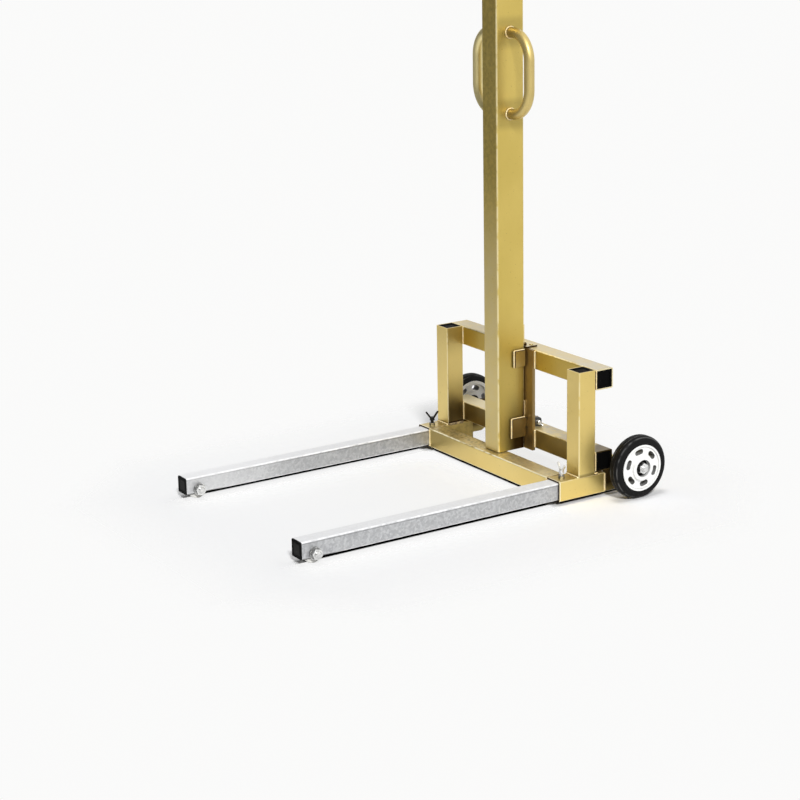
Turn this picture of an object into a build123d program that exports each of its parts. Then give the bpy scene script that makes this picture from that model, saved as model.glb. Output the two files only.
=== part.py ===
from build123d import *
import os

# Portable folding stacker: welded base on two wheels, two plug-in floor legs,
# and a rectangular mast that hinges on the upper crossbar and carries a lifting column.
# Millimetres. +X is the right side, +Z is up, the legs point along -Y.
# Depths (y) below are measured from the front face of the base.

# Square base tube and overall base size
tube_side = 50.0
tube_wall = 3.0
tube_round = 4.0
half_width = 302.0
ground_gap = 10.0
sleeve_length = 136.5
sleeve_x = half_width - tube_side / 2
base_top = ground_gap + tube_side

# Uprights and rear crossbars
upright_front = 58.0
upright_rear = upright_front + tube_side
frame_top = 317.0
lower_bar_z = 90.0
upper_bar_z = frame_top - tube_side / 2
bar_y = upright_rear + tube_side / 2
plug_lip = 2.5

# Plate behind the mast
plate_half = 60.0
plate_thick = 8.0
plate_front = upright_rear - plate_thick

# Floor legs
leg_side = 42.0
leg_wall = 2.5
leg_reach = 700.0
leg_insert = 110.0
leg_z = ground_gap + tube_side / 2
roller_y = -667.0
roller_r = 25.0
roller_bolt_r = 8.0
roller_width = 28.0

# Wheels on the rear axle
wheel_y = 195.0
wheel_r = 77.0
wheel_x = 352.0
tyre_width = 34.0
rim_r = 56.5
hub_out = 23.5
hub_in = 16.0
web_out = 15.5
web_in = 8.0
axle_r = 10.0
bearing_r = 21.0
bearing_width = 12.0
bearing_face = 10.5
bracket_x = (293.0, 301.0)

# Mast and handles
mast_wide = 60.0
mast_deep = 80.0
mast_wall = 3.0
mast_front = 18.0
mast_rear = mast_front + mast_deep
mast_y = mast_front + mast_deep / 2
mast_foot = 62.0
mast_top = 1300.0
tab_thick = 6.0
tab_rear = 95.5
handle_r = 12.5
handle_wall = 2.0
handle_x = 104.3
handle_low = 896.5
handle_high = 1088.0
handle_bend = 62.0

# Fold hinge and the lock below it
hinge_y = 103.8
hinge_z = 325.0
knuckle_r = 5.0
pin_r = 3.0
lock_y = 126.0
lock_z = 126.5

# Lifting column inside the mast
column_wide = 48.0
column_deep = 68.0
column_wall = 2.5
column_foot = 110.0
bush_lip = 3.0
head_size = 110.0
head_thick = 8.0
head_pitch = 84.0
head_hole_r = 5.5
clamp_z = 1232.0

# Clamp screws
clamp_y = 25.0
screw_r = 4.0
screw_clear = 0.3
nut_flats = 13.0
nut_high = 6.5

# The row's origin is the middle of the floor rectangle under the whole object
base_front = (leg_reach + plug_lip - wheel_y - wheel_r) / 2


def block(x0, x1, y0, y1, z0, z1):
    centre = Pos((x0 + x1) / 2, base_front + (y0 + y1) / 2, (z0 + z1) / 2)
    return centre * Box(x1 - x0, y1 - y0, z1 - z0)


def rod_x(x0, x1, y, z, r):
    return Pos((x0 + x1) / 2, base_front + y, z) * Rot(0, 90, 0) * Cylinder(r, x1 - x0)


def rod_y(x, y0, y1, z, r):
    return Pos(x, base_front + (y0 + y1) / 2, z) * Rot(90, 0, 0) * Cylinder(r, y1 - y0)


def rod_z(x, y, z0, z1, r):
    return Pos(x, base_front + y, (z0 + z1) / 2) * Cylinder(r, z1 - z0)


def hex_prism(flats, high):
    return extrude(RegularPolygon(flats / 2, 6, major_radius=False), high)


def box_tube(wide, deep, wall, outer_round, length):
    outer = extrude(RectangleRounded(wide, deep, outer_round), length)
    bore_round = max(outer_round - wall, 1.0)
    bore = extrude(RectangleRounded(wide - 2 * wall, deep - 2 * wall, bore_round), length)
    return outer - bore


def base_tube_x(x0, x1, y, z):
    tube = box_tube(tube_side, tube_side, tube_wall, tube_round, x1 - x0)
    return Pos(x0, base_front + y, z) * Rot(0, 90, 0) * tube


def tube_y(x, y0, y1, z, side, wall):
    tube = box_tube(side, side, wall, tube_round, y1 - y0)
    return Pos(x, base_front + y0, z) * Rot(-90, 0, 0) * tube


def tube_z(x, y, z0, z1, wide, deep, wall, outer_round):
    tube = box_tube(wide, deep, wall, outer_round, z1 - z0)
    return Pos(x, base_front + y, z0) * tube


def flush_plug():
    # Push-in cap along +Z that sits just inside the end of a base tube, with a sunk square in its face
    inside = tube_side - 2 * tube_wall - 0.4
    body = Pos(0, 0, -15) * extrude(RectangleRounded(inside, inside, 1.0), 14.5)
    recess = Pos(0, 0, -2.0) * extrude(RectangleRounded(inside - 11, inside - 11, 2.0), 3)
    hollow = Pos(0, 0, -15) * extrude(RectangleRounded(inside - 5, inside - 5, 1.0), 11)
    return body - recess - hollow


def save(shape, node):
    export_step(shape, "parts/" + node + ".step")


def sleeve(side):
    # Socket for a floor leg, open in front, with the clamp screw's hole on top
    tube = tube_y(side * sleeve_x, 0, sleeve_length, leg_z, tube_side, tube_wall)
    return tube - rod_z(side * sleeve_x, clamp_y, base_top - 10, base_top + 10, screw_r + screw_clear)


def upright(side):
    x = side * (half_width - tube_side / 2)
    y = upright_front + tube_side / 2
    return tube_z(x, y, base_top, frame_top, tube_side, tube_side, tube_wall, tube_round)


def upright_plugs():
    plugs = []
    for side in (-1, 1):
        x = side * (half_width - tube_side / 2)
        place = Pos(x, base_front + upright_front + tube_side / 2, frame_top)
        plugs.append(place * flush_plug())
    return Compound(plugs)


def crossbar_plugs():
    plugs = []
    for z in (lower_bar_z, upper_bar_z):
        for side in (-1, 1):
            place = Pos(side * half_width, base_front + bar_y, z) * Rot(0, side * 90, 0)
            plugs.append(place * flush_plug())
    return Compound(plugs)


def back_plate():
    # Flat steel plate joining both rear crossbars, with a slot for the mast's lock tongue
    plate = block(-plate_half, plate_half, plate_front, upright_rear, base_top, frame_top)
    x0 = mast_wide / 2
    return plate - block(x0 - 1.3, x0 + tab_thick + 1.7, plate_front - 1, upright_rear + 1, 114.5, 141.0)


def lock_clevis():
    # Two ears behind the plate, standing on the lower crossbar
    top = lower_bar_z + tube_side / 2
    ears = []
    for x0, x1 in ((21.5, 27.5), (39.0, 45.0)):
        ear = block(x0, x1, upright_rear, 139.5, top, lock_z + 12)
        corner = ear.edges().filter_by(Axis.X).sort_by(Axis.Y)[-2:].sort_by(Axis.Z)[-1]
        ear = fillet(corner, 11.0)
        ears.append(ear - rod_x(x0 - 1, x1 + 1, lock_y, lock_z, screw_r + screw_clear))
    return Compound(ears)


def hinge_base_leaf():
    # Leaf lying on the upper crossbar; two outer knuckles hold the pin
    leaf = block(-35, 35, 100.5, 136, frame_top, frame_top + 4)
    leaf = fillet(leaf.edges().filter_by(Axis.Z).sort_by(Axis.Y)[-2:], 6.0)
    for x0, x1 in ((-24.0, -9.0), (9.0, 24.0)):
        leaf += block(x0, x1, 100.5, hinge_y + knuckle_r, frame_top + 3, hinge_z)
        leaf += rod_x(x0, x1, hinge_y, hinge_z, knuckle_r)
    leaf -= block(-8.9, 8.9, 99, hinge_y + knuckle_r + 1.2, frame_top - 1, frame_top + 9)
    leaf -= rod_x(-40, 40, hinge_y, hinge_z, pin_r + 0.05)
    for x in (-25, 25):
        leaf -= rod_z(x, 122, frame_top - 1, frame_top + 5, 2.6)
    return leaf


def hinge_pin():
    pin = rod_x(-26, 26, hinge_y, hinge_z, pin_r)
    return pin + rod_x(24.2, 26.5, hinge_y, hinge_z, pin_r + 0.8)


def leaf_rivets():
    rivets = []
    for x in (-25, 25):
        shank = rod_z(x, 122, frame_top - 6, frame_top + 4, 2.5)
        head = rod_z(x, 122, frame_top + 4, frame_top + 6.5, 5.0)
        rivets.append(shank + fillet(head.edges().sort_by(Axis.Z)[-1], 1.8))
    return Compound(rivets)


def upper_crossbar():
    # The hinge leaf's two rivets pass through its top wall
    tube = base_tube_x(-half_width, half_width, bar_y, upper_bar_z)
    for x in (-25, 25):
        tube -= rod_z(x, 122, frame_top - 8, frame_top + 1, 2.6)
    return tube


def axle_bracket(side):
    # Plate welded to the sleeve's end and under the lower crossbar; its rear corner rises to the axle
    under_bar = lower_bar_z - tube_side / 2
    points = [(sleeve_length, 12), (sleeve_length, under_bar), (163, under_bar), (176, 97), (214, 97)]
    points += [(224, 87), (224, 58), (206, 20), (192, 12)]
    outline = Polyline(*[(base_front + y, z) for y, z in points], close=True)
    x0, x1 = bracket_x
    plate = extrude(Plane.YZ * make_face(outline), x1 - x0)
    start = x0 if side > 0 else -x1
    plate = Pos(start, 0, 0) * plate
    return plate - rod_x(side * 297 - 10, side * 297 + 10, wheel_y, wheel_r, axle_r + 0.05)


def axle():
    # Through rod, turned down at both ends for the wheel nuts
    seat = wheel_x + bearing_face - 0.2
    rod = rod_x(-seat, seat, wheel_y, wheel_r, axle_r)
    for side in (-1, 1):
        x0, x1 = sorted((side * seat, side * (seat + 19)))
        end = rod_x(x0, x1, wheel_y, wheel_r, 8.0)
        rod += chamfer(end.edges().sort_by(Axis.X)[-1 if side > 0 else 0], 1.5)
    return rod


def axle_rings(x0, x1, r_in, r_out):
    rings = []
    for side in (-1, 1):
        a, b = sorted((side * x0, side * x1))
        rings.append(rod_x(a, b, wheel_y, wheel_r, r_out) - rod_x(a - 1, b + 1, wheel_y, wheel_r, r_in))
    return Compound(rings)


def axle_nuts():
    nuts = []
    for side in (-1, 1):
        start = side * (wheel_x + bearing_face + 2.8)
        place = Pos(start, base_front + wheel_y, wheel_r) * Rot(0, side * 90, 0)
        nut = hex_prism(24.0, 13.0) - Cylinder(8.05, 40)
        nut = nut & Pos(0, 0, 6.5) * fillet(Cylinder(13.6, 13.0).edges(), 2.4)
        nuts.append(place * nut)
    return Compound(nuts)


def screw_nut(place):
    return place * (hex_prism(nut_flats, nut_high) - Cylinder(screw_r + screw_clear, 40))


def clamp_nuts():
    # Nuts welded over the sleeve holes and on the lock's inner ear
    nuts = []
    for side in (-1, 1):
        nuts.append(screw_nut(Pos(side * sleeve_x, base_front + clamp_y, base_top)))
    nuts.append(screw_nut(Pos(21.5 - nut_high, base_front + lock_y, lock_z) * Rot(0, 90, 0)))
    return Compound(nuts)


def wing_screw(shank, ear_long=25.0, ear_out=9.0, ear_up=13.3, ear_wide=4.4):
    # Screw along +Z from its tip: round shank, hub, two rounded wings spread as a V
    screw = Pos(0, 0, shank / 2) * Cylinder(screw_r, shank)
    screw += Pos(0, 0, shank) * extrude(Circle(6.6), 9.0, taper=8)
    for side in (-1, 1):
        ear = Rot(90, 0, 0) * extrude(SlotOverall(ear_long, ear_wide, rotation=90), 1.8, both=True)
        screw += Pos(side * ear_out, 0, shank + ear_up) * Rot(0, side * 36, 0) * ear
    return screw


def leg(side):
    # Galvanised square tube; the roller stands in a slot cut in its floor
    x = side * sleeve_x
    tube = tube_y(x, -leg_reach, leg_insert, leg_z, leg_side, leg_wall)
    floor = leg_z - leg_side / 2
    tube -= block(x - 16, x + 16, roller_y - 25, roller_y + 25, floor - 1, floor + leg_wall + 1)
    return tube - rod_x(x - 30, x + 30, roller_y, roller_r, roller_bolt_r + 0.05)


def leg_plug(side):
    # Cap over the leg's end: full-size lip outside, short skirt inside in front of the roller
    lip = extrude(RectangleRounded(leg_side - 1.0, leg_side - 1.0, tube_round - 0.5), plug_lip)
    lip = chamfer(lip.faces().sort_by(Axis.Z)[-1].edges(), 0.8)
    recess = Pos(0, 0, plug_lip - 0.8) * extrude(RectangleRounded(leg_side - 14, leg_side - 14, 2), 1)
    inside = leg_side - 2 * leg_wall - 0.4
    skirt = Pos(0, 0, -7) * extrude(RectangleRounded(inside, inside, 1.0), 7)
    hollow = Pos(0, 0, -7) * extrude(RectangleRounded(inside - 5, inside - 5, 1.0), 5)
    place = Pos(side * sleeve_x, base_front - leg_reach, leg_z) * Rot(90, 0, 0)
    return place * (lip - recess + skirt - hollow)


def leg_axle_bolt(side):
    x = side * sleeve_x
    half = leg_side / 2
    bolt = rod_x(x - half, x + half + 16, roller_y, roller_r, roller_bolt_r)
    bolt = chamfer(bolt.edges().sort_by(Axis.X)[-1], 1.5)
    head = Pos(x - half - 9.0, base_front + roller_y, roller_r) * Rot(0, 90, 0)
    return bolt + head * hex_prism(24.0, 9.0)


def leg_axle_nut(side):
    # Hexagon nut with a collar against the leg
    x = side * sleeve_x + leg_side / 2
    place = Pos(x, base_front + roller_y, roller_r) * Rot(0, 90, 0) * Rot(0, 0, 20)
    nut = hex_prism(24.0, 13.0) & Pos(0, 0, 6.5) * fillet(Cylinder(13.6, 13.0).edges(), 2.4)
    nut += Pos(0, 0, 1.2) * Cylinder(15.0, 2.4)
    return place * (nut - Cylinder(roller_bolt_r + 0.05, 40))


def roller(side):
    x = side * sleeve_x
    half = roller_width / 2
    wheel = rod_x(x - half, x + half, roller_y, roller_r, roller_r)
    wheel = fillet(wheel.edges(), 2.0)
    return wheel - rod_x(x - 30, x + 30, roller_y, roller_r, roller_bolt_r + 3.0)


def roller_bush(side):
    x = side * sleeve_x
    half = roller_width / 2 + 1.0
    tube = rod_x(x - half, x + half, roller_y, roller_r, roller_bolt_r + 2.95)
    return tube - rod_x(x - 30, x + 30, roller_y, roller_r, roller_bolt_r + 0.1)


def wheel_place(side):
    return Pos(side * wheel_x, base_front + wheel_y, wheel_r) * Rot(0, side * 90, 0)


def tyre(side):
    # Solid rubber ring with rounded shoulders and two running grooves
    section = Pos((rim_r + wheel_r) / 2, 0) * Rectangle(wheel_r - rim_r, tyre_width)
    section = fillet(section.vertices().group_by(Axis.X)[-1], 12.0)
    for groove in (-4.0, 4.0):
        section -= Pos(wheel_r, groove) * Rectangle(2.4, 1.6)
    return wheel_place(side) * revolve(Plane.XZ * section, Axis.Z)


def rim(side):
    # Moulded wheel body: barrel, slotted web, hub with two bearing seats
    barrel = Pos(rim_r - 2.5, 0) * Rectangle(5, tyre_width + 3)
    barrel += Pos(rim_r, -tyre_width / 2 - 0.75) * Rectangle(7, 1.5)
    web = Pos(39.5, (web_out - web_in) / 2) * Rectangle(30, web_out + web_in)
    hub = Pos(25, (hub_out - hub_in) / 2) * Rectangle(8, hub_out + hub_in)
    shoulder = Pos(20, bearing_face - bearing_width - 1) * Rectangle(3, 2)
    body = revolve(Plane.XZ * (barrel + web + hub + shoulder), Axis.Z)
    turn = 11 if side > 0 else 21
    for k in range(6):
        slot = extrude(SlotArc(CenterArc((0, 0), 40.5, -8.5, 17.0), 12.5), 60)
        body -= Rot(0, 0, 60 * k + turn) * Pos(0, 0, -30) * slot
    return wheel_place(side) * body


def bearings(side):
    rings = []
    for z0 in (0.5 - hub_in, bearing_face - bearing_width):
        ring = Cylinder(bearing_r - 0.05, bearing_width) - Cylinder(axle_r + 0.1, 40)
        rings.append(wheel_place(side) * Pos(0, 0, z0 + bearing_width / 2) * ring)
    return Compound(rings)


def mast_tube():
    tube = tube_z(0, mast_y, mast_foot, mast_top, mast_wide, mast_deep, mast_wall, 5.0)
    return tube - rod_y(0, mast_rear - 10, mast_rear + 10, clamp_z, screw_r + screw_clear)


def upper_tab(side):
    # Flat tab welded to the mast's side, short of the plate behind
    a, b = sorted((side * mast_wide / 2, side * (mast_wide / 2 + tab_thick)))
    return block(a, b, 63.5, tab_rear, 273, 315)


def lower_tab(side):
    # As above; the right one runs on through the plate as a notched lock tongue
    a, b = sorted((side * mast_wide / 2, side * (mast_wide / 2 + tab_thick)))
    tab = block(a, b, 55, tab_rear, 93, 142.5)
    if side < 0:
        return tab
    tab += block(a + 0.3, b, tab_rear - 1, 136, lock_z - 9, lock_z + 11)
    notch = block(a - 1, b + 1, lock_y, 140, lock_z - 5.2, lock_z + 6.8)
    notch += rod_x(a - 1, b + 1, lock_y, lock_z + 0.8, 6.0)
    return tab - notch


def handle(side):
    # Bent round tube welded to the mast's side by both ends
    root = side * mast_wide / 2
    out = side * handle_x
    bend = side * handle_bend
    mid = 0.70710678
    low, high, r = handle_low, handle_high, handle_bend
    arc_x = out - bend + bend * mid
    path = Line((root, low), (out - bend, low))
    path += ThreePointArc((out - bend, low), (arc_x, low + r - r * mid), (out, low + r))
    path += Line((out, low + r), (out, high - r))
    path += ThreePointArc((out, high - r), (arc_x, high - r + r * mid), (out - bend, high))
    path += Line((out - bend, high), (root, high))
    wire = Plane.XZ * path
    ring = Circle(handle_r) - Circle(handle_r - handle_wall)
    start = Plane(origin=(root, 0, low), x_dir=(0, 1, 0), z_dir=(side, 0, 0))
    return Pos(0, base_front + mast_y + 1.0, 0) * sweep(start * ring, path=wire)


def mast_hinge_leaf():
    # Leaf on the mast's rear face with the middle knuckle
    leaf = block(-24, 24, mast_rear, mast_rear + 4, hinge_z + 7, hinge_z + 50)
    leaf += block(-8.5, 8.5, mast_rear, mast_rear + 4, hinge_z, hinge_z + 8)
    leaf += rod_x(-8.5, 8.5, hinge_y, hinge_z, knuckle_r)
    return leaf - rod_x(-9, 9, hinge_y, hinge_z, pin_r + 0.1)


def stop_plate():
    return block(-28, 28, mast_rear, plate_front - 0.4, 93, 182)


def mast_foot_plug():
    wide = mast_wide - 2 * mast_wall - 0.4
    deep = mast_deep - 2 * mast_wall - 0.4
    return Pos(0, base_front + mast_y, mast_foot + 1) * extrude(RectangleRounded(wide, deep, 1.6), 12)


def mast_top_bush():
    # Nylon guide: flange on the mast's end, skirt inside it
    wide = mast_wide - 2 * mast_wall - 0.4
    deep = mast_deep - 2 * mast_wall - 0.4
    flange = extrude(RectangleRounded(mast_wide, mast_deep, 5), bush_lip)
    skirt = Pos(0, 0, -40) * extrude(RectangleRounded(wide, deep, 1.6), 40)
    opening = RectangleRounded(column_wide + 0.6, column_deep + 0.6, 4.2)
    bush = flange + skirt - Pos(0, 0, -50) * extrude(opening, 60)
    return Pos(0, base_front + mast_y, mast_top) * bush


def column_clamp_nut():
    return screw_nut(Pos(0, base_front + mast_rear, clamp_z) * Rot(-90, 0, 0))


def lift_column():
    top = mast_top + bush_lip + 1.0
    return tube_z(0, mast_y, column_foot, top, column_wide, column_deep, column_wall, 4.0)


def column_guide_pads():
    # Nylon slides round the column's foot
    gap_x = (mast_wide - column_wide) / 2 - mast_wall - 0.3
    gap_y = (mast_deep - column_deep) / 2 - mast_wall - 0.3
    pads = []
    for z in (column_foot + 10, column_foot + 210):
        for side in (-1, 1):
            a, b = sorted((side * column_wide / 2, side * (column_wide / 2 + gap_x)))
            pads.append(block(a, b, mast_y - 24, mast_y + 24, z, z + 60))
            face = mast_y + side * column_deep / 2
            c, d = sorted((face, face + side * gap_y))
            pads.append(block(-16, 16, c, d, z, z + 60))
    return Compound(pads)


def head_plate():
    # Plate on the column's top that takes the load fork or platform
    plate = extrude(RectangleRounded(head_size, head_size, 8), head_thick)
    for sx in (-1, 1):
        for sy in (-1, 1):
            place = Pos(sx * head_pitch / 2, sy * head_pitch / 2, 0)
            plate -= place * Cylinder(head_hole_r, 40)
    return Pos(0, base_front + mast_y, mast_top + bush_lip + 1.0) * plate


def leg_clamp(side):
    tip = leg_z + leg_side / 2 + 0.3
    turn = -6 if side > 0 else 72
    place = Pos(side * sleeve_x, base_front + clamp_y, tip) * Rot(0, 0, turn)
    return place * wing_screw(base_top + nut_high + 6 - tip)


def lock_screw():
    # Short wings that turn clear of the crossbar below
    place = Pos(14.0, base_front + lock_y, lock_z) * Rot(0, 90, 0) * Rot(0, 0, 44)
    return place * wing_screw(32.0, 13.0, 5.5, 9.5)


def column_clamp():
    tip = mast_y + column_deep / 2 + 0.3
    place = Pos(0, base_front + tip, clamp_z) * Rot(-90, 0, 0)
    return place * wing_screw(mast_rear + nut_high + 6 - tip)


os.makedirs("parts", exist_ok=True)

for side, name in ((-1, "left"), (1, "right")):
    save(sleeve(side), "sleeve_" + name)
    save(upright(side), "upright_" + name)
    save(axle_bracket(side), "axle_bracket_" + name)
    save(leg(side), "leg_" + name)
    save(leg_plug(side), "leg_plug_" + name)
    save(leg_axle_bolt(side), "leg_axle_bolt_" + name)
    save(leg_axle_nut(side), "leg_axle_nut_" + name)
    save(roller(side), "roller_" + name)
    save(roller_bush(side), "roller_bush_" + name)
    save(tyre(side), "tyre_" + name)
    save(rim(side), "rim_" + name)
    save(bearings(side), "bearings_" + name)
    save(upper_tab(side), "upper_tab_" + name)
    save(lower_tab(side), "lower_tab_" + name)
    save(handle(side), "handle_" + name)
    save(leg_clamp(side), "leg_clamp_" + name)

save(base_tube_x(-sleeve_x + tube_side / 2, sleeve_x - tube_side / 2, tube_side / 2, leg_z), "front_crossbar")
save(base_tube_x(-half_width, half_width, bar_y, lower_bar_z), "lower_crossbar")
save(upper_crossbar(), "upper_crossbar")
save(upright_plugs(), "upright_plugs")
save(crossbar_plugs(), "crossbar_plugs")
save(back_plate(), "back_plate")
save(lock_clevis(), "lock_clevis")
save(hinge_base_leaf(), "hinge_base_leaf")
save(hinge_pin(), "hinge_pin")
save(leaf_rivets(), "leaf_rivets")
save(axle(), "axle")
save(axle_rings(bracket_x[1], wheel_x - hub_in + 0.2, axle_r + 0.1, 14.0), "axle_spacers")
save(axle_rings(wheel_x + bearing_face + 0.3, wheel_x + bearing_face + 2.8, 8.1, 14.0), "axle_washers")
save(axle_nuts(), "axle_nuts")
save(clamp_nuts(), "clamp_nuts")
save(mast_tube(), "mast_tube")
save(mast_hinge_leaf(), "mast_hinge_leaf")
save(stop_plate(), "stop_plate")
save(mast_foot_plug(), "mast_foot_plug")
save(mast_top_bush(), "mast_top_bush")
save(column_clamp_nut(), "column_clamp_nut")
save(lift_column(), "lift_column")
save(column_guide_pads(), "column_guide_pads")
save(head_plate(), "head_plate")
save(lock_screw(), "lock_screw")
save(column_clamp(), "column_clamp")
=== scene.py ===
import math

import bpy
from mathutils import Matrix, Vector


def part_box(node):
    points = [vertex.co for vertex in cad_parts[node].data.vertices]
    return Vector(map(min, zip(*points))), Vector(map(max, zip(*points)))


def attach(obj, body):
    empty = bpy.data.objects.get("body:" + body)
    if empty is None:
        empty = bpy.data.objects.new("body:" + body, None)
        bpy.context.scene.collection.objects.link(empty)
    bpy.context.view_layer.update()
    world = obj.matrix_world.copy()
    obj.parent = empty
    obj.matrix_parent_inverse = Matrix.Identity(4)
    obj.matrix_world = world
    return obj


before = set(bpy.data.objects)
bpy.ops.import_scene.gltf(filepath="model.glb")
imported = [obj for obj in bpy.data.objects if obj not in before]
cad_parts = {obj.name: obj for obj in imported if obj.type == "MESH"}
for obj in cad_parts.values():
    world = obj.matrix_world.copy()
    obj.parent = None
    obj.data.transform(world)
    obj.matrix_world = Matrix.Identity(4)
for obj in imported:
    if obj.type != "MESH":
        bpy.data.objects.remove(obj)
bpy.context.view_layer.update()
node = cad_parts


# Base: two leg sleeves, three crossbars and two uprights of square steel tube, with a flat plate
# behind the mast and a bracket plate for each wheel. All are welded together and sprayed in one
# coat of satin gold paint that has gone patchy and is flecked with grime. Shade in hollows, under
# parts and low down is painted into it, the plate behind the mast is a darker copy of it as painted
# shade, and edges and some tops carry painted highlights.
class Tone:
    """One shader socket. Sums on it add Math nodes, and node() adds a node of any other kind."""

    def __init__(self, tree, socket=None):
        self.tree = tree
        self.socket = socket

    def node(self, kind, settings, inputs, output=0):
        made = self.tree.nodes.new(kind)
        for key, value in settings.items():
            setattr(made, key, value)
        for key, value in inputs.items():
            if isinstance(value, Tone):
                self.tree.links.new(value.socket, made.inputs[key])
            else:
                made.inputs[key].default_value = value
        return Tone(self.tree, made.outputs[output] if made.outputs else None)

    def maths(self, operation, first, second=0.0):
        return self.node("ShaderNodeMath", {"operation": operation}, {0: first, 1: second})

    def __add__(self, other):
        return self.maths("ADD", self, other)

    __radd__ = __add__

    def __sub__(self, other):
        return self.maths("SUBTRACT", self, other)

    def __rsub__(self, other):
        return self.maths("SUBTRACT", other, self)

    def __mul__(self, other):
        return self.maths("MULTIPLY", self, other)

    __rmul__ = __mul__

    def magnitude(self):
        return self.maths("ABSOLUTE", self)

    def root(self):
        return self.maths("SQRT", self)

    def at_least(self, low):
        return self.maths("MAXIMUM", self, low)

    def at_most(self, high):
        return self.maths("MINIMUM", self, high)

    def axis(self, letter):
        return self.node("ShaderNodeSeparateXYZ", {}, {0: self}, letter)

    def along(self, way):
        sockets = {0: self, 1: way}
        return self.node("ShaderNodeVectorMath", {"operation": "DOT_PRODUCT"}, sockets, "Value")

    def noise(self, scale, detail):
        sockets = {"Vector": self, "Scale": scale, "Detail": detail}
        return self.node("ShaderNodeTexNoise", {}, sockets, "Fac")

    def step(self, low, high):
        """Nought at low, rising smoothly to one at high."""
        sockets = {"Value": self, "From Min": low, "From Max": high}
        return self.node("ShaderNodeMapRange", {"interpolation_type": "SMOOTHSTEP"}, sockets)

    def past(self, start, over):
        """Nought up to the start, rising to one over the stretch behind it."""
        return self.step(start, start + over)

    def before(self, end, over):
        """One, falling to nought over the stretch in front of the end."""
        return (end - self).step(0.0, over)

    def stripe(self, centre, half):
        return (self - centre).magnitude().before(half, half * 0.5)

    def blend(self, first, second):
        first, second = (end if isinstance(end, Tone) else (*end, 1) for end in (first, second))
        return self.node("ShaderNodeMix", {"data_type": "RGBA"}, {0: self, 6: first, 7: second}, 2)

    def relief(self, height, strength):
        sockets = {"Height": self, "Distance": height, "Strength": strength}
        return self.node("ShaderNodeBump", {}, sockets)


def open_finish(name):
    material = bpy.data.materials.new(name)
    material.use_nodes = True
    material.node_tree.nodes.clear()
    return material, Tone(material.node_tree).node("ShaderNodeTexCoord", {}, {}, "Object")


def close_finish(place, sockets):
    skin = place.node("ShaderNodeBsdfPrincipled", {}, sockets)
    place.node("ShaderNodeOutputMaterial", {}, {"Surface": skin})


def coat(material, *names):
    for name in names:
        skin = node[name].data.materials
        skin.clear()
        skin.append(material)


up, down, ahead, right = (0, 0, 1), (0, 0, -1), (0, -1, 0), (1, 0, 0)


def outward(place):
    return place.node("ShaderNodeTexCoord", {}, {}, "Normal")


def facing(place, way, start=0.6, full=0.8):
    """One on the faces that look that way."""
    return outward(place).along(way).step(start, full)


def facing_both(place, way, start=0.6, full=0.8):
    """One on the faces that look that way or straight back."""
    return outward(place).along(way).magnitude().step(start, full)


# Edges painted bright cream, partly as wear and partly as a painted highlight.
def rubbed_and_lit_edges(place):
    x, y, z = (outward(place).axis(letter).magnitude() for letter in "XYZ")
    return (x * y + y * z + z * x).step(0.22, 0.44)


def gold_paint(name, pale, deep, rough, wear_and_highlight=0.0, grime_and_shade=None, dust_and_light_film=None, highlight=None):
    rusty, dust, dirt_and_shade = (0.22, 0.13, 0.03), (0.62, 0.57, 0.45), (0.042, 0.018, 0.002)
    worn_highlight, highlight_cream = (1.0, 0.92, 0.63), (0.97, 0.88, 0.60)
    metal, varnish = 0.85, 0.4
    material, place = open_finish(name)
    cloud = place.noise(5.0, 3.0)
    fleck = place.noise(1300.0, 2.0)
    speck = place.noise(190.0, 2.0).step(0.68, 0.77)
    roughness = rough + cloud * 0.10 + speck * 0.15
    colour = (cloud.step(0.3, 0.7) * 0.7 + fleck * 0.3).blend(deep, pale)
    colour = (speck * 0.3).blend(colour, rusty)
    # The pale film is dust, and on the mast's front it is painted light.
    if dust_and_light_film:
        cover = dust_and_light_film(place)
        colour = cover.blend(colour, dust)
        metal = metal - cover * 0.5
        roughness = roughness + cover * 0.15
    # The darkening mask is grime and painted shade.
    if grime_and_shade:
        cover = grime_and_shade(place)
        colour = cover.blend(colour, dirt_and_shade)
        varnish = (1.0 - cover).at_least(0.0) * varnish
    if wear_and_highlight:
        edge = rubbed_and_lit_edges(place) * (wear_and_highlight * place.noise(45.0, 3.0).step(0.25, 0.55))
        colour = edge.blend(colour, worn_highlight)
        metal = metal - edge * 0.7
    # The pale cream mask is a painted highlight.
    if highlight:
        colour = highlight(place).blend(colour, highlight_cream)
    grain = fleck + 0.5 * place.noise(260.0, 2.0)
    close_finish(place, {"Base Color": colour, "Metallic": metal, "Roughness": roughness,
                         "Coat Weight": varnish, "Coat Roughness": 0.2,
                         "Normal": grain.relief(0.0003, 0.10)})
    return material


def left_half(place):
    return place.axis("X").before(0.0, 0.1)


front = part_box("front_crossbar")[0].y
sleeve_low, sleeve_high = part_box("sleeve_right")


# Painted shade on the sleeves: the mouth, the rear end, the far sleeve's top and inner face, and the
# underside, with patchy grime on the tops.
def sleeve_shade_and_grime(place):
    level, back = place.axis("Z"), place.axis("Y") - front
    mouth = back.before(0.0008, 0.0004)
    top = 0.06 + 0.16 * place.noise(40.0, 5.0).step(0.35, 0.65) + left_half(place) * 0.16
    rear = back.past(0.112, 0.022) * level.past(0.022, 0.03) * 0.34
    inner = left_half(place) * (0.14 + 0.26 * place.noise(60.0, 5.0).step(0.35, 0.65))
    return mouth + facing(place, up) * top + rear + facing(place, right) * inner + facing(place, down)


# A painted highlight: a pale cream stripe round the sleeves just behind their front end.
def sleeve_lip_highlight(place):
    return place.axis("Y").stripe(front + 0.0026, 0.0022)


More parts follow.
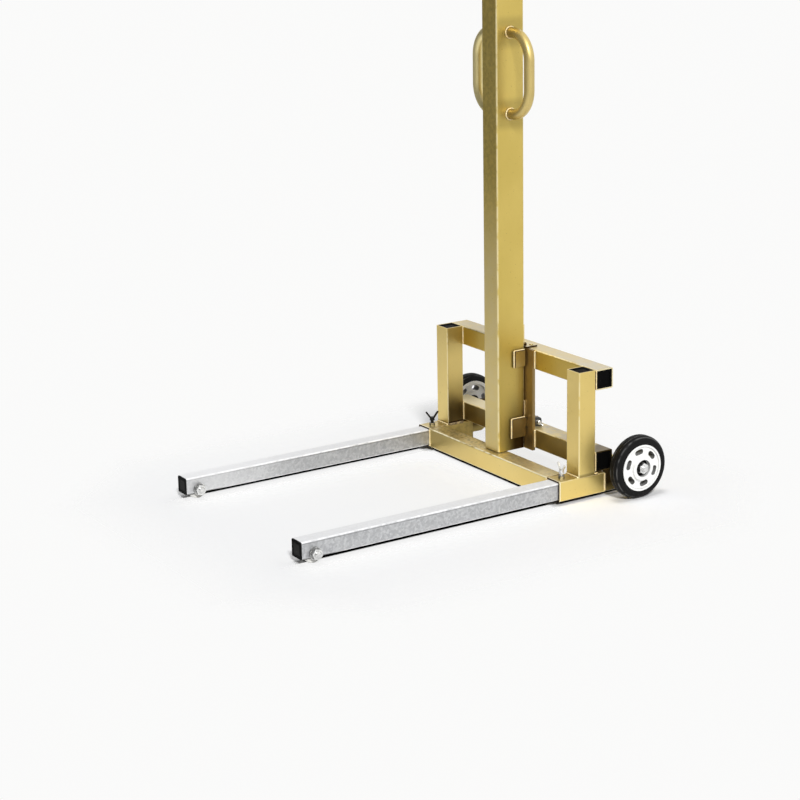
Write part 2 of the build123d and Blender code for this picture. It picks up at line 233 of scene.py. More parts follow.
# Painted shade on the front crossbar: the far end of the top, the left of the front face and the underside,
# with mottled grime on the top.
def front_bar_shade_and_grime(place):
    across = place.axis("X")
    top = 0.40 * place.noise(120.0, 6.0).step(0.40, 0.68) + 0.18 * across.before(-0.08, 0.08)
    face = across.before(0.02, 0.26) * 0.30
    return facing(place, up) * top + facing(place, ahead) * face + facing(place, down)


def top_dust(place):
    return facing(place, up) * (0.15 + 0.75 * place.noise(35.0, 5.0).step(0.3, 0.7))


def front_bar_dust(place):
    return top_dust(place) * 0.3


# A painted highlight: the top paler from the middle to the right end.
def front_bar_highlight(place):
    return facing(place, up) * place.axis("X").past(-0.02, 0.16) * 0.48


# Painted shade on the lower crossbar: its front face, and the top and end face at its right end.
def lower_bar_shade(place):
    face = facing(place, ahead, 0.4) * (0.55 + 0.25 * place.noise(9.0, 3.0))
    end = facing(place, up) * place.axis("X").past(0.235, 0.03) * 0.80
    rim = facing(place, right) * 0.92
    return face + end + rim


def lower_bar_dust(place):
    return top_dust(place) * (1.0 - left_half(place) * 0.7)


# A painted highlight: the left half of the top paler.
def lower_bar_highlight(place):
    return facing(place, up) * left_half(place) * 0.6


# Painted shade on the upper crossbar's front face, in patches.
def upper_bar_shade(place):
    return facing(place, ahead, 0.4) * (0.16 + 0.26 * place.noise(9.0, 3.0))


def upper_bar_dust(place):
    end = place.axis("X").past(0.05, 0.25) * 0.3
    return facing(place, up) * (0.40 + 0.28 * place.noise(35.0, 5.0).step(0.3, 0.7) + end)


# A painted highlight: the ends of the upper crossbar painted pale cream.
def upper_bar_rim_highlight(place):
    return facing_both(place, right) * 0.8


# Painted shade: darker at the uprights' foot, and on the far upright's inner face, most low down and some
# at the top.
def upright_shade(place):
    level = place.axis("Z")
    foot = level.before(sleeve_high.z + 0.0085, 0.006) * 0.5
    low = level.before(0.21, 0.12) * 0.74
    high = level.past(0.23, 0.07) * 0.26
    return foot + left_half(place) * facing(place, right, 0.5) * (low + high + 0.12)


# Painted shade: the wheel brackets darker, most of all at the top.
def bracket_shade(place):
    return 0.50 + 0.44 * place.axis("Z").past(0.018, 0.016)


gold_pale, gold_deep = (0.91, 0.71, 0.25), (0.81, 0.61, 0.19)
gold = gold_paint("gold_paint", gold_pale, gold_deep, 0.32)
coat(gold_paint("sleeve_gold", gold_pale, gold_deep, 0.32, wear_and_highlight=0.3, grime_and_shade=sleeve_shade_and_grime, highlight=sleeve_lip_highlight),
     "sleeve_left", "sleeve_right")
coat(gold_paint("front_bar_gold", gold_pale, gold_deep, 0.32, wear_and_highlight=1.0, grime_and_shade=front_bar_shade_and_grime,
                dust_and_light_film=front_bar_dust, highlight=front_bar_highlight), "front_crossbar")
coat(gold_paint("lower_bar_gold", gold_pale, gold_deep, 0.32, wear_and_highlight=0.7, grime_and_shade=lower_bar_shade,
                dust_and_light_film=lower_bar_dust, highlight=lower_bar_highlight), "lower_crossbar")
coat(gold_paint("upper_bar_gold", (0.88, 0.66, 0.15), (0.78, 0.55, 0.10), 0.32, wear_and_highlight=0.7,
                grime_and_shade=upper_bar_shade, dust_and_light_film=upper_bar_dust, highlight=upper_bar_rim_highlight), "upper_crossbar")
coat(gold_paint("upright_gold", gold_pale, gold_deep, 0.34, wear_and_highlight=0.45, grime_and_shade=upright_shade),
     "upright_left", "upright_right")
coat(gold_paint("bracket_gold", gold_pale, gold_deep, 0.34, wear_and_highlight=0.3, grime_and_shade=bracket_shade),
     "axle_bracket_left", "axle_bracket_right")
# The plate behind the mast is a darker copy of the same paint, as painted shade.
coat(gold_paint("plate_shaded_gold", (0.35, 0.24, 0.085), (0.27, 0.175, 0.060), 0.36, wear_and_highlight=0.3), "back_plate")


# Weld beads: short runs of hand-laid weld, painted with the frame but coloured a paler cream as a
# painted highlight. Each is a row of overlapping ripples of molten metal that froze one after
# another along the seam, with painted shade along its toes.
lumpy = bpy.data.textures.new("weld_lumps", "CLOUDS")
lumpy.noise_scale = 0.006


def weld_paint(name):
    material, place = open_finish(name)
    toe = place.node("ShaderNodeAttribute", {"attribute_name": "toe"}, {}, "Fac")
    cloud = place.noise(120.0, 3.0)
    # Painted shade along the toes; the cream colour is a painted highlight.
    toe_shade = (toe + cloud * 0.3).step(0.72, 1.0)
    colour = cloud.step(0.3, 0.7).blend((0.90, 0.68, 0.30), (0.99, 0.84, 0.50))
    colour = toe_shade.blend(colour, (0.07, 0.035, 0.012))
    close_finish(place, {"Base Color": colour, "Metallic": 0.3, "Roughness": 0.30 + toe_shade * 0.25,
                         "Normal": cloud.relief(0.0004, 0.15)})
    return material


weld_highlight_gold = weld_paint("weld_highlight_gold")


def ripple(name, wide):
    bpy.ops.object.select_all(action="DESELECT")
    bpy.ops.mesh.primitive_uv_sphere_add(segments=16, ring_count=10, radius=wide / 2)
    piece = bpy.context.object
    piece.name = name
    bpy.ops.object.mode_set(mode="EDIT")
    bpy.ops.mesh.select_all(action="SELECT")
    bpy.ops.transform.resize(value=(0.5, 1.0, 0.72))
    bpy.ops.object.mode_set(mode="OBJECT")
    return piece


def apply_modifiers(piece):
    bpy.context.view_layer.objects.active = piece
    for modifier in list(piece.modifiers):
        bpy.ops.object.modifier_apply(modifier=modifier.name)


def melt(piece, wide):
    piece.modifiers.new("melt", "REMESH").voxel_size = wide / 13
    lumps = piece.modifiers.new("lumps", "DISPLACE")
    lumps.texture = lumpy
    lumps.texture_coords = "GLOBAL"
    lumps.strength = wide * 0.18
    piece.modifiers.new("flow", "SMOOTH").iterations = 2
    apply_modifiers(piece)


def mark_toes(piece, how_shaded):
    toe = piece.data.attributes.new("toe", "FLOAT", "POINT")
    for index, vertex in enumerate(piece.data.vertices):
        toe.data[index].value = how_shaded(vertex.co)


def settle(piece, body):
    bpy.ops.object.select_all(action="DESELECT")
    piece.select_set(True)
    bpy.context.view_layer.objects.active = piece
    bpy.ops.object.transform_apply(location=True, rotation=True, scale=True)
    bpy.ops.object.shade_smooth_by_angle(angle=math.radians(40))
    piece.data.materials.clear()
    piece.data.materials.append(weld_highlight_gold)
    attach(piece, body)


def weld_run(name, body, start, end, out, wide, shade_level=None):
    """A bead from start to end. Painted shade darkens its two toes, and the whole bead when a shade level
    is given.
    """
    start, out = Vector(start), Vector(out)
    run = Vector(end) - start
    along = run.normalized()
    out = (out - along * along.dot(out)).normalized()
    across = out.cross(along)
    piece = ripple(name, wide)
    row = piece.modifiers.new("row", "ARRAY")
    row.use_relative_offset = False
    row.use_constant_offset = True
    row.count = max(2, round(run.length / (wide * 0.3)))
    row.constant_offset_displace = (run.length / (row.count - 1), 0, 0)
    apply_modifiers(piece)
    turned = Matrix((along, across, out)).transposed().to_4x4()
    piece.matrix_world = Matrix.Translation(start) @ turned
    bpy.ops.object.transform_apply(location=True, rotation=True, scale=True)
    melt(piece, wide)
    if shade_level is None:
        mark_toes(piece, lambda spot: abs((spot - start).dot(across)) / (wide * 0.29))
    else:
        mark_toes(piece, lambda spot: shade_level)
    settle(piece, body)


upright_low, upright_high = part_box("upright_right")
bar_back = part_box("front_crossbar")[1].y
plate_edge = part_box("back_plate")[1].x
bracket_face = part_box("axle_bracket_right")[1].x - 0.0005
corner_gap = 0.004
foot = sleeve_high.z + 0.0002
seam_low, seam_high = sleeve_low.z + corner_gap, sleeve_high.z - corner_gap

for side, hand in ((-1, "left"), (1, "right")):
    inner, outer = side * upright_low.x, side * upright_high.x
    weld_run("foot_weld_front_" + hand, "base", (inner + side * 0.003, upright_low.y, foot),
             (outer - side * corner_gap, upright_low.y, foot), (0, -1, 1), wide=0.008)
    weld_run("foot_weld_inner_" + hand, "base", (inner, upright_low.y + corner_gap, foot),
             (inner, upright_high.y - corner_gap, foot), (-side, 0, 0.4), wide=0.007, shade_level=0.75)
    corner, over = outer - side * 0.0015, foot + 0.001
    weld_run("foot_weld_outer_" + hand, "base", (corner, upright_high.y - 0.0015, over),
             (corner, upright_high.y + 0.0055, over), (side, 0, 1), wide=0.007)
    sunk = sleeve_high.z - 0.0008
    weld_run("sleeve_seam_top_" + hand, "base", (inner, front + corner_gap, sunk),
             (inner, bar_back - corner_gap, sunk), (0, 0, 1), wide=0.005, shade_level=0.75)
    weld_run("sleeve_seam_rear_" + hand, "base", (inner, bar_back, seam_low),
             (inner, bar_back, seam_high), (-side, 1, 0), wide=0.007)
    flush = front + 0.0006
    weld_run("sleeve_seam_front_" + hand, "base", (inner, flush, seam_low),
             (inner, flush, seam_high), (0, -1, 0), wide=0.007, shade_level=0.2)
    for level in ("lower", "upper"):
        bar_low, bar_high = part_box(level + "_crossbar")
        low, high = bar_low.z + corner_gap, bar_high.z - corner_gap
        weld_run(f"{level}_bar_weld_inner_{hand}", "base", (inner, bar_low.y, low),
                 (inner, bar_low.y, high), (-side, -1, 0), wide=0.008)
        end = outer - side * 0.0005
        weld_run(f"{level}_bar_weld_outer_{hand}", "base", (end, bar_low.y, low),
                 (end, bar_low.y, high), (side, -0.2, 0), wide=0.006)
        edge, face = side * plate_edge, bar_low.y - 0.0005
        weld_run(f"{level}_plate_weld_{hand}", "base", (edge, face, low), (edge, face, high),
                 (side, -1, 0), wide=0.009)
    rear = sleeve_high.y + 0.0003
    weld_run("bracket_weld_" + hand, "base", (side * bracket_face, rear, seam_low + 0.001),
             (side * bracket_face, rear, seam_high - 0.001), (side, 0.3, 0), wide=0.008, shade_level=0.3)


# End plugs: hollow black plastic caps pushed into the ends of the crossbars, uprights and legs, each
# with a shallow square sunk into its face. The mast's foot plug and top guide are of like plastic.
def black_plastic(name, grey, rough, sunk=None):
    material, place = open_finish(name)
    patch = place.noise(60.0, 4.0)
    grain = place.noise(1500.0, 2.0)
    dust = place.noise(22.0, 5.0).step(0.48, 0.75)
    colour = (dust * 0.3 + patch * 0.2).blend((grey, grey, grey), (0.008, 0.0078, 0.0072))
    if sunk:
        colour = sunk(place).blend(colour, (0.026, 0.026, 0.025))
    close_finish(place, {"Base Color": colour, "Roughness": rough + dust * 0.2,
                         "Specular IOR Level": 0.03, "Normal": grain.relief(0.0003, 0.2)})
    return material


plug_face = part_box("leg_plug_left")[0].y


def plug_square(place):
    return place.axis("Y").past(plug_face + 0.0004, 0.0004)


coat(black_plastic("plug_black", 0.002, 0.50),
     "crossbar_plugs", "upright_plugs", "mast_foot_plug", "mast_top_bush")
coat(black_plastic("leg_plug_black", 0.001, 0.50, plug_square), "leg_plug_left", "leg_plug_right")


# Floor legs: galvanised square tube slid into the sleeves. The zinc has frozen in crystals a few
# millimetres wide, each with its own shade of grey. Its edges are painted bright, partly as wear and
# partly as a painted highlight, its top is painted paler as light and its underside black as shade.
leg_low, leg_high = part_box("leg_right")


def galvanised(name, scale):
    dull, pale, black = (0.43, 0.435, 0.445), (0.66, 0.665, 0.67), (0.02, 0.02, 0.02)
    material, place = open_finish(name)
    along, level = place.axis("Y"), place.axis("Z")
    sockets = {0: place.noise(70.0, 2.0), 1: (0.006,) * 3, 2: place}
    warped = place.node("ShaderNodeVectorMath", {"operation": "MULTIPLY_ADD"}, sockets)
    sockets = {"Vector": warped, "Scale": scale}
    crystal = warped.node("ShaderNodeTexVoronoi", {}, sockets, "Color").axis("X")
    fine = place.noise(420.0, 4.0)
    shade = crystal * 0.40 + fine * 0.45 + place.noise(16.0, 5.0) * 0.25
    colour = shade.step(0.2, 0.95).blend(dull, pale)
    # A thin dark line painted along each flank below the top edge.
    flank_line = level.stripe(leg_high.z - 0.0052, 0.0011) * facing_both(place, right, 0.6, 0.9)
    colour = (flank_line * 0.45).blend(colour, (0.10, 0.10, 0.10))
    # Painted shade on the left leg near its root, and painted light towards its tip.
    root = left_half(place) * (1.0 - along.before(-0.12, 0.2))
    colour = (root * 0.12).blend(colour, black)
    far_tip_light = left_half(place) * along.before(-0.12, 0.3)
    colour = (far_tip_light * 0.5).blend(colour, (0.86, 0.86, 0.86))
    # Painted shade: the underside black. Painted light: the top paler and the edges bright.
    colour = facing(place, down).blend(colour, black)
    top = facing(place, up, 0.75, 0.95)
    colour = (top * 0.7).blend(colour, (0.93, 0.93, 0.935))
    edge = rubbed_and_lit_edges(place) * (0.35 + 0.65 * place.noise(60.0, 3.0).step(0.3, 0.6))
    colour = edge.blend(colour, (0.97, 0.97, 0.97))
    # A painted shadow along the bottom edge near the tips.
    sole_shadow = level.before(leg_low.z + 0.0032, 0.001) * along.before(-0.37, 0.05)
    colour = (sole_shadow * 0.95).blend(colour, (0.01, 0.01, 0.01))
    close_finish(place, {"Base Color": colour, "Metallic": (0.85 - edge * 0.5) * (1.0 - top * 0.7),
                         "Roughness": 0.42 + crystal * 0.06 + fine * 0.10 + top * 0.25,
                         "Normal": (crystal * 0.4 + fine).relief(0.0003, 0.10)})
    return material


leg_zinc = galvanised("leg_zinc", 190.0)
coat(leg_zinc, "leg_left", "leg_right")


# Leg tips: a bolt and nut hold a small nylon roller with a bronze bush in a slot of the leg's floor.
# The bolt and nut are bright zinc plated.
def plated(name, shade, rough, painted_shade=None):
    material, place = open_finish(name)
    patch = place.noise(130.0, 5.0)
    fine = place.noise(1300.0, 2.0)
    deep, pale = (shade * 0.66, shade * 0.66, shade * 0.65), (shade, shade, shade * 0.98)
    colour = patch.step(0.3, 0.7).blend(deep, pale)
    if painted_shade:
        colour = (painted_shade(place) * 0.85).blend(colour, (0.05, 0.05, 0.05))
    close_finish(place, {"Base Color": colour, "Metallic": 0.85, "Roughness": rough + patch * 0.18,
                         "Normal": fine.relief(0.0002, 0.1)})
    return material


# Painted shade: the nut's flats are coloured dark.
def nut_flat_shade(place):
    return 1.0 - facing_both(place, right, 0.25, 0.6)


def moulded(name, pale, stain, rough):
    material, place = open_finish(name)
    cloud = place.noise(30.0, 4.0)
    colour = (cloud.step(0.5, 0.85) * 0.5).blend(pale, stain)
    close_finish(place, {"Base Color": colour, "Roughness": rough + cloud * 0.12,
                         "Normal": place.noise(700.0, 2.0).relief(0.0003, 0.08)})
    return material


bright_zinc = plated("bright_zinc", 0.88, 0.16)
nut_zinc = plated("nut_zinc", 0.92, 0.16, nut_flat_shade)
coat(bright_zinc, "leg_axle_bolt_left", "leg_axle_bolt_right")
coat(nut_zinc, "leg_axle_nut_left", "leg_axle_nut_right")
coat(moulded("nylon", (0.82, 0.81, 0.77), (0.66, 0.64, 0.58), 0.40),
     "roller_left", "roller_right", "column_guide_pads")
coat(plated("bush_bronze", 0.5, 0.3), "roller_bush_left", "roller_bush_right")


# Wheels: a solid rubber tyre on a moulded off-white rim with six slots. Two sealed bearings sit in
# the hub, and a plain through axle carries spacers, washers and a nut at each end.
tyre_low, tyre_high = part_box("tyre_right")
wheel_centre = (tyre_low + tyre_high) / 2
tyre_radius = (tyre_high.z - tyre_low.z) / 2
hub_radius, ring_radius, slot_radius, slot_half = 0.0215, 0.0515, 0.0405, 0.0105


def from_axle(place):
    y, z = place.axis("Y") - wheel_centre.y, place.axis("Z") - wheel_centre.z
    return (y * y + z * z).root()


def rubber(name):
    material, place = open_finish(name)
    dust = place.noise(40.0, 6.0).step(0.42, 0.75)
    fine = place.noise(800.0, 3.0)
    off_middle = (place.axis("X").magnitude() - wheel_centre.x).magnitude()
    ribs = off_middle.stripe(0.0055, 0.0012) + off_middle.stripe(0.0135, 0.0014)
    tread = from_axle(place).past(tyre_radius - 0.011, 0.002)
    scuff = ribs * tread * place.noise(55.0, 3.0).step(0.35, 0.6)
    colour = (dust * 0.4).blend((0.003, 0.003, 0.003), (0.010, 0.0095, 0.009))
    colour = (scuff * 0.8).blend(colour, (0.10, 0.10, 0.098))
    close_finish(place, {"Base Color": colour, "Roughness": 0.50 + dust * 0.2,
                         "Specular IOR Level": 0.16, "Normal": fine.relief(0.0004, 0.2)})
    return material


def rim_plastic(name):
    material, place = open_finish(name)
    radius = from_axle(place)
    # Painted shade: the slot walls and the hub recess are coloured near black.
    slot = (1.0 - facing_both(place, right, 0.35, 0.75)) * radius.stripe(slot_radius, slot_half)
    hub = radius.before(hub_radius, 0.0015)
    ring = radius.stripe(ring_radius, 0.0011)
    cloud = place.noise(30.0, 4.0)
    colour = (cloud.step(0.5, 0.85) * 0.3).blend((0.94, 0.94, 0.92), (0.84, 0.835, 0.80))
    colour = (ring * 0.35).blend(colour, (0.40, 0.40, 0.38))
    colour = (slot * 0.85).blend(colour, (0.05, 0.05, 0.045))
    colour = (hub * 0.85).blend(colour, (0.06, 0.06, 0.055))
    close_finish(place, {"Base Color": colour, "Roughness": 0.36 + cloud * 0.12,
                         "Normal": place.noise(700.0, 2.0).relief(0.0003, 0.08)})
    return material


coat(rubber("tyre_rubber"), "tyre_left", "tyre_right")
coat(rim_plastic("rim_white"), "rim_left", "rim_right")
coat(black_plastic("bearing_seal", 0.006, 0.35), "bearings_left", "bearings_right")
coat(bright_zinc, "axle")
coat(nut_zinc, "axle_nuts")
# The spacers and washers are coloured dark as painted shade in the hub recess.
coat(plated("washer_shaded_steel", 0.14, 0.30), "axle_spacers", "axle_washers")


# Fold hinge and lock: a steel leaf riveted on the upper crossbar, its partner on the mast and the
# pin between them. Lower down two ears hold the wing screw that locks the mast's tongue.
# Painted shade on the leaf's edges.
def leaf_edge_shade(place):
    return 1.0 - facing_both(place, up, 0.3, 0.6)


coat(gold_paint("leaf_gold", gold_pale, gold_deep, 0.34, grime_and_shade=leaf_edge_shade, dust_and_light_film=top_dust),
     "hinge_base_leaf", "leaf_rivets", "hinge_pin")
coat(gold, "mast_hinge_leaf")
# The clevis is coloured dark as painted shade.
coat(plated("clevis_shaded_steel", 0.10, 0.30), "lock_clevis")
# The clamp nuts are a darker copy of the zinc, as painted shade.
coat(plated("clamp_nut_shaded_zinc", 0.30, 0.25), "clamp_nuts")


# Mast: a rectangular tube with a bent round handle and two flat tabs welded to each side. The lower
# right tab runs on as the lock's tongue, and a thin stop plate meets the plate behind. It is painted
# with the base. Painted shade and light are coloured into the tube, the tabs and both handles.
mast_low, mast_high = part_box("mast_tube")
mast_middle = (mast_low.y + mast_high.y) / 2
handle_low, handle_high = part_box("handle_right")
handle_radius = (handle_high.y - handle_low.y) / 2
root_low, root_high = handle_low.z + handle_radius, handle_high.z - handle_radius
grip_height = 0.99


# Painted shade on the mast's sides low down, near the plate, round the handle roots and beside the grip,
# and on the front above halfway, mottled there.
def mast_shade_and_grime(place):
    level, back = place.axis("Z"), place.axis("Y") - front
    low = level.before(0.24, 0.16) * back.past(0.022, 0.05) * 0.80
    rear = back.past(0.085, 0.010) * level.before(0.33, 0.03) * 0.25
    lower_side_shade = level.before(0.50, 0.25) * 0.12 + 0.06
    handle_shadow = level.stripe(grip_height, 0.10) * back.before(0.052, 0.03) * 0.22
    roots = level.stripe(root_low, 0.045) + level.stripe(root_high, 0.045)
    roots = roots * back.stripe(mast_middle - front, 0.05) * 0.24
    mottle = level.past(0.5, 0.3) * (0.14 + 0.15 * place.noise(95.0, 5.0).step(0.36, 0.64))
    return facing_both(place, right) * (low + rear + lower_side_shade + handle_shadow + roots) + facing(place, ahead) * mottle


# Painted light: the front face paler below about three quarters of a metre.
def mast_front_light(place):
    face = facing(place, ahead) * place.axis("Z").before(0.75, 0.25)
    return face * (0.24 + 0.10 * place.noise(40.0, 5.0).step(0.3, 0.7))


# Painted shade on the handles near their roots at the mast.
def handle_root_shade(place):
    root = place.axis("X").magnitude().before(0.082, 0.035)
    return root * (0.35 + 0.25 * place.noise(60.0, 4.0))


# Painted shade on the far handle's side that faces away from the right front.
def far_handle_shade(place):
    away = 1.0 - facing(place, (0.8, -0.6, 0), -0.3, 0.5)
    return handle_root_shade(place) + away * 0.28


coat(gold_paint("mast_gold", (0.86, 0.66, 0.18), (0.76, 0.57, 0.13), 0.37, wear_and_highlight=0.5, grime_and_shade=mast_shade_and_grime,
                dust_and_light_film=mast_front_light), "mast_tube")
# The near handle is a darker copy of the paint as painted shade, the far handle a paler copy as painted
# light.
coat(gold_paint("near_handle_shaded_gold", (0.74, 0.58, 0.22), (0.64, 0.49, 0.17), 0.42, grime_and_shade=handle_root_shade),
     "handle_right")
coat(gold_paint("far_handle_lit_gold", (0.99, 0.86, 0.44), (0.93, 0.78, 0.36), 0.42, grime_and_shade=far_handle_shade),
     "handle_left")
coat(gold, "stop_plate")
# The tabs are darker copies of the paint, as painted shade between the mast and the plate.
coat(gold_paint("upper_tab_shaded_gold", (0.58, 0.42, 0.13), (0.48, 0.34, 0.10), 0.34),
     "upper_tab_left", "upper_tab_right")
coat(gold_paint("lower_tab_shaded_gold", (0.30, 0.20, 0.06), (0.20, 0.13, 0.035), 0.36),
     "lower_tab_left", "lower_tab_right")
coat(bright_zinc, "column_clamp_nut")


def weld_ring(name, body, centre, radius, wide):
    piece = ripple(name, wide)
    bpy.ops.object.mode_set(mode="EDIT")
    bpy.ops.mesh.select_all(action="SELECT")
    bpy.ops.transform.translate(value=(0, 0, radius))
    bpy.ops.mesh.spin(steps=round(2 * math.pi * radius / (wide * 0.35)), dupli=True,
                      angle=2 * math.pi, center=(0, 0, 0), axis=(0, 1, 0))
    bpy.ops.mesh.select_all(action="SELECT")
    bpy.ops.transform.rotate(value=math.pi / 2, orient_axis="Z", center_override=(0, 0, 0))
    bpy.ops.transform.translate(value=centre)
    bpy.ops.object.mode_set(mode="OBJECT")
    melt(piece, wide)
    mark_toes(piece, lambda spot: abs((spot - Vector(centre)).yz.length - radius) / (wide * 0.42))
    settle(piece, body)


stop_low, stop_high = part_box("stop_plate")
tab_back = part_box("upper_tab_right")[1].y - 0.002

for side, hand in ((-1, "left"), (1, "right")):
    for level, below_top, behind_front in (("upper", 0.001, 0.0005), ("lower", 0.0015, 0.001)):
        tab_low, tab_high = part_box(level + "_tab_right")
        edge = side * (tab_high.x - 0.0015)
        weld_run(f"{level}_tab_weld_front_{hand}", "mast", (edge, tab_low.y, tab_low.z + 0.001),
                 (edge, tab_low.y, tab_high.z - below_top), (side, -1, 0), wide=0.008)
        weld_run(f"{level}_tab_weld_top_{hand}", "mast", (edge, tab_low.y + behind_front, tab_high.z),
                 (edge, tab_back, tab_high.z), (side, 0, 1), wide=0.006)
    edge, face = side * (stop_high.x + 0.0005), stop_low.y - 0.0002
    weld_run("stop_plate_weld_" + hand, "mast", (edge, face, stop_high.z - 0.035),
             (edge, face, stop_high.z - 0.001), (side, 0.2, 0), wide=0.006)
    for height, end in ((root_low, "low"), (root_high, "high")):
        weld_ring(f"handle_weld_{end}_{hand}", "mast", (side * (mast_high.x + 0.0005), mast_middle, height),
                  radius=handle_radius + 0.001, wide=0.006)


# Lift column: a galvanised tube that telescopes out of the mast under a flat head plate with four
# bolt holes.
coat(leg_zinc, "lift_column", "head_plate")


# Wing screws: steel with two cast wings spread as a V. One clamps each leg, one locks the mast and
# one holds the lift column. All are zinc plated; the left leg's is coloured near black as painted shade.
coat(plated("screw_zinc", 0.95, 0.22), "leg_clamp_right", "column_clamp")
coat(plated("left_screw_shaded_steel", 0.03, 0.34), "leg_clamp_left")
coat(plated("lock_zinc", 0.92, 0.16), "lock_screw")


# Floor: a pale sheet that fades into the white backdrop and keeps the stacker's shadow. A thin
# painted shadow line lies on it below the legs, the front crossbar and the right sleeve, where no
# light gets in, and beside the line the sheet is clear, a painted light that lets the backdrop's
# white show. Reflections and bounced light see the sheet dimmer towards the front left and back
# right, with painted shade behind the axle.
standpoint = Vector((3.903165, -2.515397, 1.542953))
half_width, half_length = 0.38, 0.48
slack = 0.003


def out_of_sight(edge, eye, height):
    """Where the floor passes out of the camera's sight behind a lower edge, along one axis."""
    return edge + (edge - eye) * height / (standpoint.z - height)


bpy.ops.object.select_all(action="DESELECT")
bpy.ops.mesh.primitive_circle_add(vertices=128, radius=9.0, fill_type="NGON", location=(0, 0, 0))
floor = bpy.context.object
floor.name = "floor"
sheet, spot = open_finish("floor_sheet")
x, y = spot.axis("X"), spot.axis("Y")
direct = spot.node("ShaderNodeLightPath", {}, {}, "Is Camera Ray")

# Only reflections and bounced light see this: the sheet dimmer to the front left and back right, and
# painted shade behind the axle.
dim_left = spot.along((-0.84, -0.54, 0)).step(0.4, 2.8) * 0.80
dim_right = spot.along((0.82, 0.57, 0)).step(0.8, 3.0) * 0.40
tint = ((1.0 - direct) * (dim_left + dim_right)).blend((0.90, 0.90, 0.90), (0.02, 0.02, 0.02))
below_axle_shade = (x - 0.10).magnitude().before(0.20, 0.06) * y.past(0.36, 0.05) * y.before(0.68, 0.10)
tint = ((1.0 - direct) * below_axle_shade).blend(tint, (0.05, 0.05, 0.05))

leg_tip = out_of_sight(leg_low.y, standpoint.y, leg_low.z)
leg_line = y.past(leg_tip, 0.006) * y.before(front, 0.02)
leg_glow = y.past(leg_tip - 0.08, 0.08) * y.before(front, 0.02)
bar_line = x.magnitude().before(sleeve_low.x + 0.010, 0.02)
sleeve_line = y.past(front, 0.02) * y.before(0.43, 0.02)
behind_right_leg = out_of_sight(leg_high.x, standpoint.x, leg_low.z)
behind_left_leg = out_of_sight(-leg_low.x, standpoint.x, leg_low.z)
behind_bar = out_of_sight(front, standpoint.y, sleeve_low.z)
behind_sleeve = out_of_sight(sleeve_high.x, standpoint.x, sleeve_low.z)
# Painted shadow lines on the floor, with painted light beside them where the sheet turns clear.
painted_shade = 0.0
glow = (x + 0.08).magnitude().before(0.34, 0.04) * y.stripe(0.40, 0.10) * 0.8
for gap, wide, line, lit_line in ((x - behind_right_leg, 0.014, leg_line, leg_glow),
                                  (x - behind_left_leg, 0.014, leg_line, leg_glow),
                                  (behind_bar - y, 0.010, bar_line, bar_line),
                                  (x - behind_sleeve, 0.011, sleeve_line, 0.0)):
    gap = gap + slack
    painted_shade = painted_shade + gap.past(-slack, slack) * gap.before(wide, 0.004) * line
    glow = glow + gap.past(wide - 0.002, 0.004) * gap.before(0.15, 0.12) * lit_line * 0.85
tint = (direct * painted_shade).blend(tint, (0.004, 0.004, 0.004))

aside = (x.magnitude() - half_width).at_least(0.0)
beyond = (y.magnitude() - half_length).at_least(0.0)
sheer = (aside + beyond).step(0.02, 0.36).at_least(glow).at_most(1.0)
paper = spot.node("ShaderNodeBsdfDiffuse", {}, {"Color": tint})
clear = spot.node("ShaderNodeBsdfTransparent", {}, {})
ground = spot.node("ShaderNodeMixShader", {}, {0: direct * sheer, 1: paper, 2: clear})
spot.node("ShaderNodeOutputMaterial", {}, {"Surface": ground})
floor.data.materials.append(sheet)


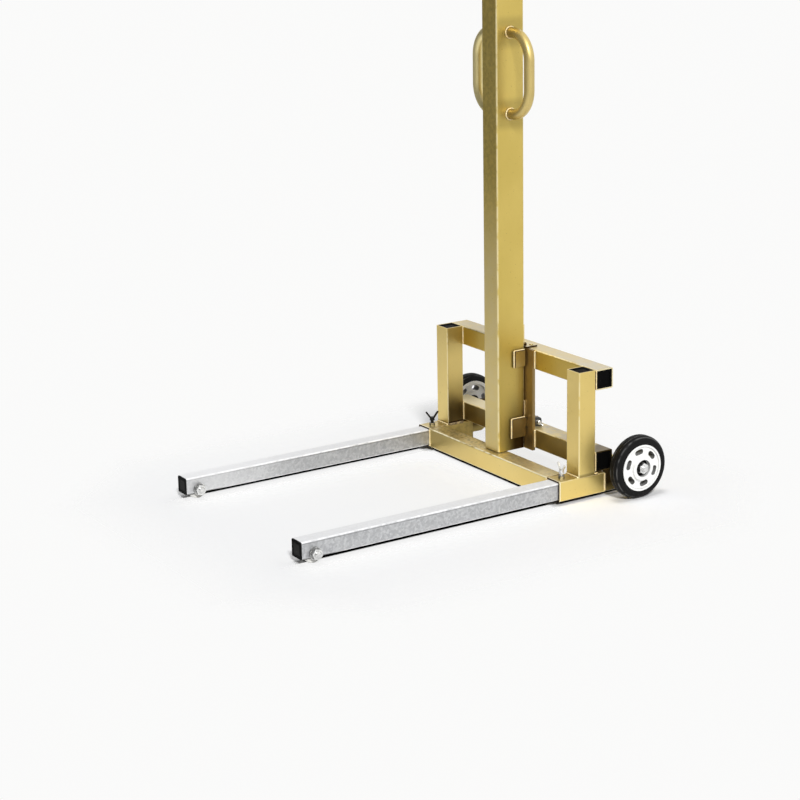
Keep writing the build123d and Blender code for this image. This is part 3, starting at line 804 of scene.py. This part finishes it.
# Light: a white backdrop right round behind the stacker, dimmer towards the front left, one broad
# lamp high on the right and a weaker one overhead. Both are far off, so the floor is lit evenly.
room = bpy.data.worlds.new("room")
bpy.context.scene.world = room
room.use_nodes = True
room.node_tree.nodes.clear()
sky = Tone(room.node_tree)
seen_ray, glossy_ray, clear_ray = (sky.node("ShaderNodeLightPath", {}, {}, f"Is {kind} Ray")
                                   for kind in ("Camera", "Glossy", "Transmission"))
behind = sky.node("ShaderNodeTexCoord", {}, {}, "Generated").along((0.2, 0.95, 0.22))
screen = behind.step(-0.5, 0.3) * 0.75 + 0.18
seen = sky.node("ShaderNodeBackground", {}, {"Color": (0.96, 0.96, 0.955, 1), "Strength": 1.0})
mirrored = sky.node("ShaderNodeBackground", {}, {"Color": (1, 1, 1, 1), "Strength": screen})
lit = sky.node("ShaderNodeBackground", {}, {"Color": (0.95, 0.97, 1.0, 1), "Strength": screen * 0.38})
bounced = sky.node("ShaderNodeMixShader", {}, {0: glossy_ray + clear_ray, 1: lit, 2: mirrored})
backdrop = sky.node("ShaderNodeMixShader", {}, {0: seen_ray, 1: bounced, 2: seen})
sky.node("ShaderNodeOutputWorld", {}, {"Surface": backdrop})


def far_lamp(name, source, breadth, strength):
    lamp = bpy.data.lights.new(name, "SUN")
    lamp.angle = math.radians(breadth)
    lamp.energy = strength
    holder = bpy.data.objects.new(name, lamp)
    bpy.context.scene.collection.objects.link(holder)
    holder.location = source
    holder.rotation_euler = Vector(source).to_track_quat("Z", "Y").to_euler()
    return holder


far_lamp("right_lamp", (3.2, -1.3, 2.8), breadth=8, strength=2.3)
overhead = far_lamp("overhead_lamp", (0.1, -0.3, 3.2), breadth=20, strength=0.95)
overhead.visible_glossy = False


# Camera: where the photograph was taken from. Its standpoint, turn, dip, roll and focal length were
# solved from the corners of the base.
turn, dip, roll = 1.0044652, 0.2753904, -0.0197147
focal_pixels, picture_pixels = 2006.859, 800
look = Vector((-math.sin(turn) * math.cos(dip), math.cos(turn) * math.cos(dip), -math.sin(dip)))
level_side = look.cross(Vector((0, 0, 1))).normalized()
level_top = level_side.cross(look)
picture_side = math.cos(roll) * level_side + math.sin(roll) * level_top
picture_top = -math.sin(roll) * level_side + math.cos(roll) * level_top
lens = bpy.data.cameras.new("camera")
lens.sensor_width = 36.0
lens.lens = lens.sensor_width * focal_pixels / picture_pixels
camera = bpy.data.objects.new("camera", lens)
bpy.context.scene.collection.objects.link(camera)
aim = Matrix((picture_side, picture_top, -look)).transposed().to_4x4()
camera.matrix_world = Matrix.Translation(standpoint) @ aim
bpy.context.scene.camera = camera
bpy.context.scene.view_settings.view_transform = "Standard"
